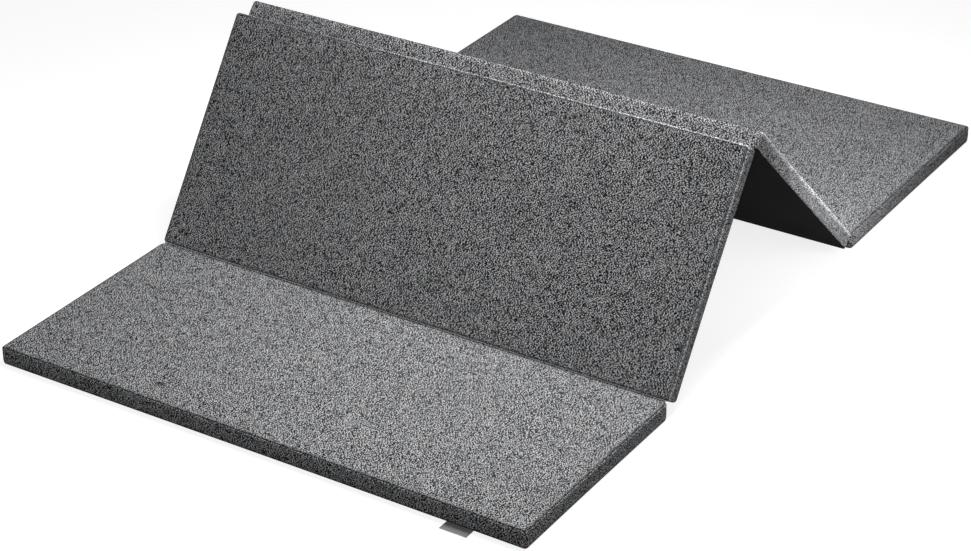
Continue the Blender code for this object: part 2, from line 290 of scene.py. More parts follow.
bpy.context.scene.view_settings.view_transform = "Standard"
makeCamera()
makeWorld()
makeFloor()
for name, values in lamps.items():
    areaLight(name, *values)
print("camera, floor and light in place")


# ---- Materials

melangeLook = {
    "yarnWidth": 0.00225,
    "floatLength": 0.0018,
    "twistLength": 0.0021,
    "wander": 0.0012,  # how far a yarn strays from its line
    "toneContrast": 0.76,
    "floatDifference": 0.446,  # how much a float is made unlike those on the yarns beside it
    "endDifference": 0.347,  # and unlike those before and after it
    "twistDifference": 0.324,
    "slubContrast": 0.036,
    "twistContrast": 0.64,
    "fleckContrast": 0.78,  # rare floats that are much lighter or darker
    "reliefHeight": 0.00013,
    "tones": [(0.0, 0.006), (0.3, 0.020), (0.5, 0.110), (0.65, 0.35), (0.8, 0.70), (1.0, 0.90)],
    "cool": (0.920, 0.985, 1.090, 1),
    "warm": (1.030, 1.0, 0.955, 1),
    "stray": (0.34, 0.31, 0.26, 1),
    "strayFrom": 0.96,  # a float whose chance is above this takes some of the stray colour
    "wanderScales": (26.0, 31.0),
    "slubScales": (330.0, 62.0),  # across and along the yarns
    "fibreScales": (2600.0, 900.0),
    "mottleScale": 48.0,
    "gapShade": 0.624,
    # how dark the painted shade in the seams and on the top's edge makes the cloth
    "seamDark": 0.72,
    "fuzz": 2.1,  # painted highlight: the lips are so much brighter
    "lipHighlightShare": 0.16,
    "lipHighlightTone": 0.70,
    "brightness": 1.02,
    "specular": 0.04,
    "sheen": 0.08,
    "laneSeed": 3.7,
}


def melangeCloth():
    look = melangeLook
    bench = Bench("melangeUpholstery")
    across, along = bench.plan()
    broad = bench.noise(bench.vector(across, along), look["wanderScales"][0], 1.0)
    other = bench.noise(bench.vector(along, across, 7.3), look["wanderScales"][1], 1.0)
    across = across + (broad - 0.5) * look["wander"]
    along = along + (other - 0.5) * look["wander"]
    column = across / look["yarnWidth"]
    lane = column.floor()

    def cellTone(beside, length, phases=1.0, seed=0.0, ahead=0):  # tone of a length of yarn here or near here
        yarnLine = lane + beside
        shift = bench.chance(bench.vector(yarnLine, look["laneSeed"]))
        return bench.chance(bench.vector(yarnLine, (along / length + shift * phases).floor() + ahead, seed))

    floats, twists = (look["floatLength"],), (look["twistLength"], 7.0, 4.4)  # length, phases and seed
    row = along / look["floatLength"] + bench.chance(bench.vector(lane, look["laneSeed"]))
    step = row.floor()
    beside = cellTone(-1, *floats) + cellTone(1, *floats) - 1.0
    ends = cellTone(0, *floats, ahead=-1) + cellTone(0, *floats, ahead=1) - 1.0
    tone = cellTone(0, *floats) - 0.5 - beside * look["floatDifference"] - ends * look["endDifference"]
    besideTurn = cellTone(-1, *twists) + cellTone(1, *twists) - 1.0
    turn = cellTone(0, *twists) - 0.5 - besideTurn * look["twistDifference"]
    fleck = bench.chance(bench.vector(step, lane, 5.1))
    slub, fibre = (bench.noise(bench.vector(across * look[key][0], along * look[key][1]), 1.0, *detail)
                   for key, detail in (("slubScales", (1.0,)), ("fibreScales", (2.0, 0.6))))
    crest = (column.fract() * math.pi).sine()
    swell = (row.fract() * math.pi).sine() ** 0.4
    yarn = crest * swell
    shade = yarn * (1 - look["gapShade"]) + look["gapShade"]
    mottle = bench.noise(bench.vector(across, along, 2.9), look["mottleScale"], 2.0)
    level = tone * look["toneContrast"] + (slub - 0.5) * look["slubContrast"]
    level = level + turn * look["twistContrast"] + 0.5
    swing = fleck * 2.0 - 1.0
    rare = swing * swing * swing * swing * swing  # near 0 for most floats, and far from it for a few
    level = level + rare * look["fleckContrast"]
    colour = bench.ramp(level, look["tones"])
    tint = bench.mix(mottle, look["cool"], look["warm"])
    colour = bench.mix(1.0, colour, tint, "MULTIPLY")
    colour = bench.mix((fleck > look["strayFrom"]) * 0.35, colour, look["stray"])
    gain = shade * (fibre * 0.7 + 0.65) * (mottle * 0.12 + 0.94) * look["brightness"]
    colour = bench.scaled(colour, gain)
    # painted shade in the seams and on the top's edge, and a painted highlight on the lips, read from attributes set
    # on the cover
    seam, fuzz = (bench.node("ShaderNodeAttribute", {"attribute_name": name}, output=2)
                  for name in ("seamShade", "edgeFuzz"))
    colour = bench.scaled(colour, (1.0 - seam * look["seamDark"]) * (1.0 + fuzz * look["fuzz"]))
    # the painted highlight also pulls the lips toward a pale grey
    colour = bench.mix(fuzz * look["lipHighlightShare"], colour, grey(look["lipHighlightTone"]))
    height = yarn * 0.8 + fibre * 0.35
    normal = bench.bump(height, look["reliefHeight"], 0.9)
    roughness = 0.96 - yarn * 0.12
    constants = {"Specular IOR Level": look["specular"], "Sheen Weight": look["sheen"], "Sheen Roughness": 0.45,
                 "Sheen Tint": (0.90, 0.95, 1.0, 1)}
    return bench.finish(constants, colour, roughness, normal)


baseLook = {
    "thread": 0.00075,
    "dark": (0.0080, 0.0080, 0.0084, 1),
    "light": (0.0190, 0.0190, 0.0205, 1),
    "reliefHeight": 0.00010,
    "rubScale": 14.0,
    "lintScale": 420.0,
    "lintFrom": 0.72,
}


def baseClothMaterial():
    look = baseLook
    bench = Bench("blackBaseCloth")
    across, along = bench.plan()
    warp = (across / look["thread"] * math.pi).sine().absolute()
    weft = (along / look["thread"] * math.pi).sine().absolute()
    weave = warp * weft
    rub = bench.noise(bench.vector(across, along, 1.3), look["rubScale"], 4.0, 0.6)
    lint = bench.noise(bench.vector(across, along, 8.8), look["lintScale"], 2.0, 0.7)
    blend = weave * 0.45 + rub * 0.35 + (lint > look["lintFrom"]) * 0.5
    colour = bench.mix(blend, look["dark"], look["light"])
    normal = bench.bump(weave + rub * 0.6, look["reliefHeight"], 0.8)
    roughness = 0.78 + rub * 0.18
    constants = {"Specular IOR Level": 0.03}
    return bench.finish(constants, colour, roughness, normal)


foamCells = {
    "poreScale": 900.0,
    "poreDepth": 0.0004,
    "cloudScale": 22.0,
    "dark": (0.70, 0.63, 0.46, 1),
    "light": (0.80, 0.74, 0.58, 1),
}


def foamMaterial():
    look = foamCells
    bench = Bench("coldFoam")
    where = bench.place()
    pores = bench.node("ShaderNodeTexVoronoi", {"feature": "F1"}, {"Vector": where, "Scale": look["poreScale"]})
    cloud = bench.noise(where, look["cloudScale"], 3.0)
    colour = bench.mix(cloud, look["dark"], look["light"])
    colour = bench.scaled(colour, pores * 0.5 + 0.72)
    normal = bench.bump(pores, look["poreDepth"], 0.8)
    return bench.finish({"Specular IOR Level": 0.2, "Roughness": 0.92}, colour, None, normal)


zipPlastic = {
    "cloudScale": 160.0,
    "scuffScale": 1400.0,
    "scuffFrom": 0.66,
    "scuffDepth": 0.00004,
    "dark": (0.012, 0.012, 0.013, 1),
    "light": (0.036, 0.036, 0.038, 1),
}


def zipMaterial():
    look = zipPlastic
    bench = Bench("zipCoilPlastic")
    where = bench.place()
    cloud = bench.noise(where, look["cloudScale"], 3.0)
    scuff = bench.noise(where, look["scuffScale"], 3.0, 0.7)
    colour = bench.mix(cloud * 0.6 + (scuff > look["scuffFrom"]) * 0.4, look["dark"], look["light"])
    normal = bench.bump(scuff, look["scuffDepth"], 0.6)
    return bench.finish({"Specular IOR Level": 0.5}, colour, 0.38 + cloud * 0.3, normal)


tapeWeave = {
    "rib": 0.00055,
    "pick": 0.0009,
    "ribDepth": 0.00012,
    "dark": (0.010, 0.010, 0.011, 1),
    "light": (0.030, 0.030, 0.032, 1),
}


def tapeMaterial():
    look = tapeWeave
    bench = Bench("zipTapeWeave")
    across, along = bench.plan()
    rib = (across / look["rib"] * math.pi).sine().absolute()
    pick = (along / look["pick"] * math.pi).sine().absolute()
    colour = bench.mix(rib * 0.7 + pick * 0.2, look["dark"], look["light"])
    normal = bench.bump(rib * 0.7 + pick * 0.3, look["ribDepth"], 0.9)
    return bench.finish({"Specular IOR Level": 0.3, "Sheen Weight": 0.08}, colour, 0.90 - rib * 0.12, normal)


zipMetal = {
    "grainScale": 2600.0,
    "grainDepth": 0.00003,
    "wearScale": 420.0,
    "dullFrom": 0.74,
    "dark": (0.22, 0.22, 0.23, 1),
    "light": (0.46, 0.46, 0.47, 1),
}


def metalMaterial():
    look = zipMetal
    bench = Bench("brushedZipMetal")
    where = bench.place()
    grain = bench.noise(where, look["grainScale"], 3.0, 0.7)
    wear = bench.noise(where, look["wearScale"], 4.0, 0.65)
    colour = bench.mix(wear, look["dark"], look["light"])
    normal = bench.bump(grain * 0.6 + wear * 0.4, look["grainDepth"], 0.7)
    metallic = 1.0 - (wear > look["dullFrom"]) * 0.25
    return bench.finish({"Specular IOR Level": 0.5}, colour, 0.26 + wear * 0.25, normal, metallic)


labelCloth = {
    "rib": 0.00042,
    "thread": 0.00060,
    "dull": (0.22, 0.22, 0.225, 1),
    "clean": (0.42, 0.42, 0.425, 1),
    "selvedge": 0.0016,
    "hemAt": -0.0186,
    "hemWidth": 0.0004,
    "stitch": 0.0022,
    "creaseAt": -0.0085,
    "creaseWidth": 0.0016,
    "reliefHeight": 0.00010,
}
labelPlace = {"left": 0.398, "width": 0.052}  # across the front panel


def labelMaterial():
    look = labelCloth
    bench = Bench("bareWovenLabel")
    across, along = bench.plan()
    rib = (along / look["rib"] * math.pi).sine().absolute()
    thread = (across / look["thread"] * math.pi).sine().absolute()
    handled = bench.noise(bench.vector(across, along), 90.0, 3.0, 0.6)
    half = labelPlace["width"] / 2
    selvedge = (across - (labelPlace["left"] + half)).absolute() > half - look["selvedge"]
    hem = ((along - look["hemAt"]).absolute() < look["hemWidth"]) * ((across / look["stitch"]).fract() < 0.68)
    crease = 1.0 - bench.maths("MINIMUM", (along - look["creaseAt"]).absolute() / look["creaseWidth"], 1.0)
    colour = bench.mix(handled * 0.6 + rib * 0.25 + 0.1, look["dull"], look["clean"])
    # darker along the crease: painted shade, stronger where the handled noise is high
    gain = (1.0 - selvedge * 0.22) * (1.0 - hem * 0.55) * (1.0 - crease * handled * 0.35)
    colour = bench.scaled(colour, gain)
    height = rib * 0.6 + thread * 0.3 + selvedge * 1.2 - hem * 1.5 - crease * 0.8
    normal = bench.bump(height, look["reliefHeight"], 0.9)
    constants = {"Specular IOR Level": 0.25, "Sheen Weight": 0.10}
    return bench.finish(constants, colour, 0.66 + handled * 0.2, normal)


threadPly = {
    "twistScale": 1800.0,
    "twistDepth": 0.00006,
    "dark": (0.030, 0.030, 0.032, 1),
    "light": (0.11, 0.11, 0.115, 1),
}


def threadMaterial():
    look = threadPly
    bench = Bench("seamThread")
    twist = bench.noise(bench.place(), look["twistScale"], 2.0)
    colour = bench.mix(twist, look["dark"], look["light"])
    normal = bench.bump(twist, look["twistDepth"], 0.7)
    return bench.finish({"Specular IOR Level": 0.35}, colour, 0.55 + twist * 0.25, normal)


looks = {
    "melange": melangeCloth(),
    "base": baseClothMaterial(),
    "foam": foamMaterial(),
    "zip": zipMaterial(),
    "tape": tapeMaterial(),
    "metal": metalMaterial(),
    "label": labelMaterial(),
    "thread": threadMaterial(),
}
print("materials made:", len(looks))


# ---- Mesh helpers

def newPiece(name, points, faces, look, plan, matrix, sharp=None):
    mesh = bpy.data.meshes.new(name)
    mesh.from_pydata([tuple(p) for p in points], [], [tuple(int(i) for i in f) for f in faces])
    if plan is not None:
        layer = mesh.uv_layers.new(name="clothPlan")
        layer.uv.foreach_set("vector", np.asarray(plan, np.float32).ravel())
    mesh.transform(matrix)
    mesh.update()
    mesh.shade_smooth()
    if sharp:
        mesh.set_sharp_from_angle(angle=math.radians(sharp))
    piece = bpy.data.objects.new(name, mesh)
    bpy.context.scene.collection.objects.link(piece)
    mesh.materials.append(looks[look])
    return piece


def setAttribute(piece, name, values):  # a value for each point, read by the material
    layer = piece.data.attributes.new(name, "FLOAT", "POINT")
    layer.data.foreach_set("value", np.asarray(values, np.float32))


def settle(piece):  # subdivide once, keep the result as the piece's own mesh and fill its open ring
    modifier = piece.modifiers.new("soften", "SUBSURF")
    modifier.levels = modifier.render_levels = 1
    graph = bpy.context.evaluated_depsgraph_get()
    soft = bpy.data.meshes.new_from_object(piece.evaluated_get(graph))
    piece.modifiers.clear()
    old = piece.data
    piece.data = soft
    bpy.data.meshes.remove(old)
    soft.name = piece.name
    skin = bmesh.new()
    skin.from_mesh(soft)
    rim = [edge for edge in skin.edges if edge.is_boundary]
    if rim:
        bmesh.ops.holes_fill(skin, edges=rim, sides=0)
        skin.to_mesh(soft)
    skin.free()


def smoothNoise(generator, shape, passes):  # soft random values, about -1 to 1
    values = generator.standard_normal(shape)
    for _ in range(passes):
        for axis in range(values.ndim):
            values = (np.roll(values, 1, axis) + 2 * values + np.roll(values, -1, axis)) / 4
    return values / max(1e-9, np.abs(values).max())


def plainCrown(panel, tx, tu):  # 1 in the middle of a panel and 0 at its edges
    return (1 - (tx / halfWidth) ** 4) * (1 - (tu / panel["length"] * 2) ** 4)


def tubeFaces(around, columns, turned=False):
    # Sides and flat ends of a ring of points carried along columns, the ring's second half facing its first.
    # Beside them, for each corner of a side: its column and its place in the ring, which runs on past the last.
    faces, spots = [], []
    for column in range(columns - 1):
        for k in range(around):
            corners = [(column, k), (column + 1, k), (column + 1, k + 1), (column, k + 1)]
            if turned:
                corners[1], corners[3] = corners[3], corners[1]
            faces.append(tuple(at * around + place % around for at, place in corners))
            spots += corners
    for base, back in ((0, turned), ((columns - 1) * around, not turned)):
        for k in range(around // 2 - 1):
            quad = (base + k, base + k + 1, base + around - 2 - k, base + around - 1 - k)
            faces.append(quad[::-1] if back else quad)
    return faces, spots


def outlineOf(grid):  # values along a grid's outline, in the order of the rings
    return np.concatenate([grid[:, 0], grid[-1, 1:], grid[-2::-1, -1], grid[0, -2:0:-1]])


def planLines(panel, look):  # grid lines from end to end, across a panel and along it
    steps, lines = look["cornerSteps"], []
    for half in (halfWidth, panel["length"] / 2):
        straight = half - mattress["cornerRadius"]
        inner = np.linspace(-straight, straight, max(2, round(2 * straight / look["spacing"])) + 1)
        outer = straight + mattress["cornerRadius"] * np.arange(1, steps + 1) / steps
        lines.append(np.concatenate([-outer[::-1], inner, outer]))
    return lines


def planAt(panel, tx, tu, inset, roll):  # plan position of a grid point, at an inset and a roll of the edge
    radius = mattress["cornerRadius"]
    sx = halfWidth - radius
    su = panel["length"] / 2 - radius
    ax = np.clip((np.abs(tx) - sx) / radius, 0, 1)
    au = np.clip((np.abs(tu) - su) / radius, 0, 1)
    joined = np.where(tu < 0, panel["number"] > 1, panel["number"] < 4)
    rx = radius - inset - roll
    ru = radius - inset - roll * np.where(joined, mattress["joinedShare"], 1)
    x = np.sign(tx) * (np.minimum(np.abs(tx), sx) + rx * ax * np.sqrt(1 - au ** 2 / 2))
    u = np.sign(tu) * (np.minimum(np.abs(tu), su) + ru * au * np.sqrt(1 - ax ** 2 / 2))
    reach = mattress["drawReach"]
    nearX = np.clip((np.abs(tx) - sx + reach) / (reach + radius), 0, 1) ** 2
    nearU = np.clip((np.abs(tu) - su + reach) / (reach + radius), 0, 1) ** 2
    drawX = mattress["sideDraw"] * np.clip(1 - (tu / su) ** 2, 0, 1) * nearX * (tx > 0)
    drawU = mattress["sideDraw"] * np.clip(1 - (tx / sx) ** 2, 0, 1) * nearU * ~joined
    return x - drawX, panel["length"] / 2 + u - np.sign(tu) * drawU


def slab(panel, xLines, uLines, gridHeight, gridRoll, levels, closingShares, patch, closed=False):
    # A skin: a grid on one face, rings down its edge, and shrinking rings on the other face.
    # Where it isn't closed here, the last ring is filled after it has been subdivided.
    # levels are (inset, roll array, height, cloth); cloth 0 goes on with the grid's cloth, 1 is the border's.
    nx, nu = len(xLines), len(uLines)
    patch = np.array(patch)
    tx, tu = np.meshgrid(xLines, uLines, indexing="ij")
    x, u = planAt(panel, tx, tu, 0, gridRoll)
    points = [np.stack([x, u, gridHeight], -1).reshape(-1, 3)]
    index = np.arange(nx * nu).reshape(nx, nu)
    quads = np.stack([index[:-1, :-1], index[1:, :-1], index[1:, 1:], index[:-1, 1:]], -1).reshape(-1, 4)
    flat = np.stack([tx, tu], -1).reshape(-1, 2) + patch
    faces, plan = [quads], [flat[quads].reshape(-1, 2)]
    loop = outlineOf(index)
    around = len(loop)
    lx, lu = tx.ravel()[loop], tu.ravel()[loop]
    outX, outU = planAt(panel, lx, lu, 0, 0)
    inX, inU = planAt(panel, lx, lu, 0, mattress["edgeRoll"])
    normal = np.stack([outX - inX, outU - inU], -1)
    normal /= np.linalg.norm(normal, axis=1)[:, None]
    edge = np.stack([outX, outU], -1)
    strides = np.linalg.norm(np.roll(edge, -1, 0) - edge, axis=1)
    perimeter = np.concatenate([[0], np.cumsum(strides)])
    above, aboveRing = loop, points[0][loop]
    travelled = np.zeros(around)
    after = np.roll(np.arange(around), -1)

    def addRing(ring):  # with the faces that join it to the ring above
        below = sum(map(len, points)) + np.arange(around)
        points.append(ring)
        faces.append(np.stack([above, below, below[after], above[after]], -1))
        return below

    for inset, roll, height, cloth, shove in levels:
        px, pu = planAt(panel, lx, lu, inset, roll)
        ring = np.stack([px + shove, pu, np.broadcast_to(height, px.shape)], -1)
        below = addRing(ring)
        further = travelled + np.linalg.norm(ring - aboveRing, axis=1)
        corners = []
        for reach, which in ((travelled, 0), (further, 0), (further, 1), (travelled, 1)):
            pick = after if which else np.arange(around)
            if cloth == 0:
                at = np.stack([lx[pick], lu[pick]], -1) + normal[pick] * reach[pick][:, None] + patch
            else:
                along = perimeter[1:] if which else perimeter[:-1]
                at = np.stack([along, reach[pick]], -1) + patch + 1.7
            corners.append(at)
        plan.append(np.stack(corners, 1).reshape(-1, 2))
        above, aboveRing, travelled = below, ring, further
    middle = aboveRing.mean(0)
    for share in closingShares:
        ring = middle + (aboveRing - middle) * share
        ring[:, 2] = aboveRing[:, 2]
        above = addRing(ring)
        plan.append(np.repeat(ring[:, None, :2], 4, 1).reshape(-1, 2))
    if closed:
        faces.append(np.stack([above, np.full(around, sum(map(len, points))), above[after]], -1))
        points.append(middle[None])
        plan.append(np.zeros((3 * around, 2)))
    return np.concatenate(points), [tuple(f) for block in faces for f in block], np.concatenate(plan)


# ---- Cushions: cover with crown, rolled edges, seams and zip slot

cushionLook = {
    "spacing": 0.0085,
    "cornerSteps": 3,
    "puckers": 0.00022,
    "edgeStart": 0.0040,  # inset at which the top begins to dip to its seam
    "edge": [  # inset, height, share of the puckers, cloth: the dip, the seam and the border's upper lip
        (0.0034, 0.03385, 0.5, 0), (0.0029, 0.03335, 1, 0), (0.0026, 0.0326, 1, 0), (0.00255, 0.0318, 0.3, 0),
        (0.0022, 0.0314, 0.3, 0), (0.00185, 0.0319, 0.3, 1), (0.00145, 0.0324, -1, 1), (0.00095, 0.0324, -1, 1),
        (0.00045, 0.0318, -0.6, 1), (0.00018, 0.0308, -0.3, 1), (0.00004, 0.0292, 0, 1),
    ],
    "topShade": (0.60, 0.35, 0.14),  # painted shade on the top's outermost rings of points
    "seamShade": (0.70, 0.85, 0.95, 1, 1, 0.9, 0.30),  # painted shade, 1 is deep in the seam
    "edgeFuzz": (1, 1, 0.8, 0.3, 0.2, 0.4, 1, 1, 1, 1, 0.8, 0.3),  # painted highlight on the lips, 1 is where it is brightest
    "edgeHighlight": {2: {"back": 1.3, "right": 0.65}, 3: {"front": 0.22, "right": 0.8}},  # edges given a painted highlight, by panel
    "edgeHighlightLeft": 0.40,  # share of that painted highlight at the left end of an edge
    "farSide": (8, 0.25),  # level from which a back edge keeps only that share of its painted highlight
    # painted highlight on all other edges
    "faintEdgeHighlight": 0.08,
    "seamShadeUnderHighlight": 0.35,  # painted seam shade left on those edges
    "deepSeams": {2: {"right": 1.6}},  # edges whose seam keeps its shade, and how far it spreads on the top
    "slotHalf": 0.0045,
    "slotDepth": 0.0015,
    "slotSteps": ((0.0007, 0), (0.0001, 0.10), (-0.0002, 1)),  # height past the slot's edge, share of its depth
    "slotCorner": 0.0006,  # half the length in which the slot ends
    "lineGap": 0.0022,  # least distance from a line of the grid to the slot's end
    "upperRows": (0.0256, 0.0226),
    "lowerRows": (0.0074, 0.0042),
    "foot": ((0, 0.0027), (0.0004, 0.0020), (0.0013, 0.0019)),  # inset past the bulge, height
    "waves": 0.00018,
    "ripple": 0.00022,
    "crownShare": 0.92,
    "patch": (1.3, 0.7),  # how far each panel's cloth is shifted from the last one's
    "fill": 0.92,
}
swellLook = {
    "pressure": 4.0,
    "frames": 20,
    "quality": 4,
    "tension": 18.0,
    "bending": 0.6,
    "cap": 0.012,
}


def swollenCrown(panel, xLines, uLines):
    # Blow the cover up with cloth pressure while its seams are held, and give the crown as a share of 1.
    look = swellLook
    nx, nu = len(xLines), len(uLines)
    tx, tu = np.meshgrid(xLines, uLines, indexing="ij")
    bulge = mattress["sideBulge"]
    top = np.full(tx.shape, mattress["topEdge"])
    flatLevels = [(0, bulge, mattress["seamHeight"], 0, 0), (0, bulge, mattress["coverBottom"], 1, 0)]
    points, faces, plan = slab(panel, xLines, uLines, top, bulge + mattress["edgeRoll"], flatLevels, (), (0, 0),
                               closed=True)
    mesh = bpy.data.meshes.new("swelling")
    mesh.from_pydata([tuple(p) for p in points], [], faces)
    body = bpy.data.objects.new("swelling", mesh)
    bpy.context.scene.collection.objects.link(body)
    held = body.vertex_groups.new(name="held")
    held.add(list(range(nx * nu, len(points))), 1.0, "REPLACE")
    cloth = body.modifiers.new("swell", "CLOTH")
    settings = cloth.settings
    settings.quality = look["quality"]
    settings.tension_stiffness = settings.compression_stiffness = look["tension"]
    settings.bending_stiffness = look["bending"]
    settings.use_pressure = True
    settings.uniform_pressure_force = look["pressure"]
    settings.effector_weights.gravity = 0
    settings.vertex_group_mass = "held"
    cloth.collision_settings.use_collision = False
    cloth.point_cache.frame_start = 1
    cloth.point_cache.frame_end = look["frames"]
    scene = bpy.context.scene
    for step in range(1, look["frames"] + 1):
        scene.frame_set(step)
    graph = bpy.context.evaluated_depsgraph_get()
    swollen = body.evaluated_get(graph)
    after = np.zeros(len(points) * 3, np.float32)
    swollen.to_mesh().vertices.foreach_get("co", after)
    rise = after.reshape(-1, 3)[:nx * nu, 2].astype(float) - mattress["topEdge"]
    swollen.to_mesh_clear()
    bpy.data.objects.remove(body, do_unlink=True)
    bpy.data.meshes.remove(mesh)
    scene.frame_set(1)
    direction = 1 if np.median(rise) > 0 else -1
    rise = np.clip(direction * rise, 0, None)
    print("  swell of panel", panel["number"], "before the cap, mm:", round(1000 * float(rise.max()), 2))
    rise = look["cap"] * np.tanh(rise / look["cap"])
    return (rise / max(rise.max(), 1e-6)).reshape(nx, nu)


def coverLevels(look, rowX, rowU, slotEnd, generator):  # rings from the top's edge down to the cover's foot
    around = len(rowX)
    pucker = smoothNoise(generator, around, 1) * look["puckers"]
    waves = smoothNoise(generator, around, 4) * look["waves"]
    middle, half = mattress["zipHeight"], mattress["seamHeight"] - mattress["zipHeight"]
    inSlot = (rowX == rowX.min()) & (np.abs(rowU) < slotEnd)
    levels = [(0, inset + pucker * swing, height, cloth, 0) for inset, height, swing, cloth in look["edge"]]
    rows = [(height, 0) for height in look["upperRows"]]
    rows += [(middle + look["slotHalf"] + past, depth) for past, depth in look["slotSteps"]]
    rows += [(middle - look["slotHalf"] - past, depth) for past, depth in reversed(look["slotSteps"])]
    rows += [(height, 0) for height in look["lowerRows"]]
    for height, depth in rows:
        level = mattress["sideBulge"] * ((height - middle) / half) ** 2
        fade = 1 - abs(height - middle) / half
        levels.append((0, level + waves * fade * ~inSlot, height, 1, look["slotDepth"] * depth * inSlot))
    return levels + [(0, mattress["sideBulge"] + inset, height, 1, 0) for inset, height in look["foot"]]


def paintCoverShadeAndHighlight(piece, look, number, xLines, uLines, rowX, rowU):
    # Painted shade in the seams and on the top's edge, and painted highlights on the lips of chosen edges.
    around, gridSize = len(rowX), len(xLines) * len(uLines)
    sides = {"front": rowU == uLines[0], "back": rowU == uLines[-1], "right": rowX == xLines[-1]}
    edgeHighlight = np.full(around, look["faintEdgeHighlight"])
    along = look["edgeHighlightLeft"] + (1 - look["edgeHighlightLeft"]) * (0.5 + rowX / halfWidth / 2)
    for side, share in look["edgeHighlight"].get(number, {}).items():
        edgeHighlight[sides[side]] = (share * along)[sides[side]]
    deep = look["deepSeams"].get(number, {})
    shaded = 1 - np.minimum(edgeHighlight, 1) * (1 - look["seamShadeUnderHighlight"])
    for side in deep:
        shaded[sides[side]] = 1
    for name, share in (("seamShade", shaded), ("edgeFuzz", edgeHighlight)):
        values = np.zeros(len(piece.data.vertices))
        if name == "seamShade":
            top = values[:gridSize].reshape(len(xLines), len(uLines))
            for ring in range(len(look["topShade"]) - 1, -1, -1):
                shade = look["topShade"][ring]
                top[[ring, -1 - ring], ring:len(uLines) - ring] = shade
                top[ring:len(xLines) - ring, [ring, -1 - ring]] = shade
                top[-1 - ring, ring:len(uLines) - ring] = min(1, shade * deep.get("right", 1))
        for level, value in enumerate(look[name]):
            here = value * share
            if name == "edgeFuzz" and level >= look["farSide"][0]:
                here = np.where(sides["back"], look["farSide"][1], 1) * here
            values[gridSize + level * around:gridSize + (level + 1) * around] = here
        setAttribute(piece, name, values)


def makeCushion(panel):
    look = cushionLook
    number = panel["number"]
    generator = np.random.default_rng(1200 + number)
    slotEnd = panel["length"] / 2 - mattress["zipEnd"]
    slotLines = np.array([end + side * look["slotCorner"] for end in (-slotEnd, slotEnd) for side in (-1, 1)])
    xLines, uLines = planLines(panel, look)
    clear = np.abs(uLines[:, None] - slotLines).min(1) > look["lineGap"]
    uLines = np.sort(np.concatenate([uLines[clear], slotLines]))
    crown = swollenCrown(panel, xLines, uLines) * look["crownShare"] * mattress["crown"]
    tx, tu = np.meshgrid(xLines, uLines, indexing="ij")
    limit = plainCrown(panel, tx, tu)
    ripple = smoothNoise(generator, tx.shape, 60) * look["ripple"] * limit
    gridHeight = mattress["topEdge"] + np.minimum(crown + ripple, limit * mattress["crown"])
    rowX, rowU = outlineOf(tx), outlineOf(tu)
    levels = coverLevels(look, rowX, rowU, slotEnd, generator)
    points, faces, plan = slab(panel, xLines, uLines, gridHeight, look["edgeStart"], levels, (0.93,),
                               np.array(look["patch"]) * number)
    piece = newPiece(f"cushion_{number}", points, faces, "melange", plan, panelMatrix(panel))
    paintCoverShadeAndHighlight(piece, look, number, xLines, uLines, rowX, rowU)
    settle(piece)
    piece.data.shade_smooth()
    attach(piece, f"panel_{number}")
    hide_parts(f"top_cloth_{number}", f"border_{number}")
    print("  cushion", number, len(piece.data.polygons), "faces")


print("cushions")
for panel in panels:
    makeCushion(panel)


# ---- Black undersides

undersideLook = {
    "spacing": 0.016,
    "cornerSteps": 3,
    "ripple": 0.00022,
    "edgeRound": 0.0005,
    "patch": (0.41, 0.23),
}


def makeUnderside(panel):
    look = undersideLook
    number = panel["number"]
    generator = np.random.default_rng(2200 + number)
    xLines, uLines = planLines(panel, look)
    tx, tu = np.meshgrid(xLines, uLines, indexing="ij")
    height = (smoothNoise(generator, tx.shape, 12) + 1) / 2 * look["ripple"] * plainCrown(panel, tx, tu)
    bulge, inset, rounding = mattress["sideBulge"], mattress["baseInset"], look["edgeRound"]
    thickness = mattress["baseThickness"]
    levels = [
        (inset, bulge + rounding * 0.3, rounding * 0.25, 0, 0),
        (inset, bulge, rounding, 0, 0),
        (inset, bulge, thickness - rounding, 0, 0),
        (inset, bulge + rounding * 0.4, thickness, 0, 0),
    ]
    points, faces, plan = slab(panel, xLines, uLines, height, bulge + inset + rounding, levels, (0.93,),
                               np.array(look["patch"]) * number)
    flipped, at = [], 0
    for f in faces:  # the skin was drawn face up
        flipped.append(plan[at:at + len(f)][::-1])
        at += len(f)
    piece = newPiece(f"underside_{number}", points, [f[::-1] for f in faces], "base", np.concatenate(flipped),
                     panelMatrix(panel))
    settle(piece)
    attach(piece, f"panel_{number}")
    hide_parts(f"base_cloth_{number}")


print("undersides")
for panel in panels:
    makeUnderside(panel)


# ---- Foam inside the covers

foamLook = {
    "spacing": 0.030,
    "cornerSteps": 2,
    "depth": 0.0022,
    "top": 0.0316,
    "bottom": 0.0023,
    "fill": 1.0,
    "corner": ((0.0010, 0.0004), (0.0004, 0.0012)),  # how far in, how far from the nearest face
    "closeIn": 0.0018,
}


def makeFoam(panel):
    look = foamLook
    number = panel["number"]
    xLines, uLines = planLines(panel, look)
    height = np.full((len(xLines), len(uLines)), look["top"])
    bulge, depth = mattress["sideBulge"], look["depth"]
    levels = [(depth, bulge + inset, look["top"] - past, 0, 0) for inset, past in look["corner"]]
    levels += [(depth, bulge + inset, look["bottom"] + past, 0, 0) for inset, past in reversed(look["corner"])]
    levels.append((depth, bulge + look["closeIn"], look["bottom"], 0, 0))
    points, faces, plan = slab(panel, xLines, uLines, height, bulge + depth + look["closeIn"], levels, (0.9, 0.5),
                               (0, 0), closed=True)
    piece = newPiece(f"foam_{number}", points, faces, "foam", plan, panelMatrix(panel))
    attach(piece, f"panel_{number}")
    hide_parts(f"foam_core_{number}")


print("foam")
for panel in panels:
    makeFoam(panel)


# ---- Fold strips that join the covers

foldStripLook = {
    "halfWidth": 0.544,
    "legLength": 0.012,
    "thickness": 0.0005,
    "columns": 96,
    "legSteps": 7,
    "sway": 0.0004,
    "bendReach": 0.002,  # points this near to the axis don't sway
    "blendHalf": 0.0006,
}


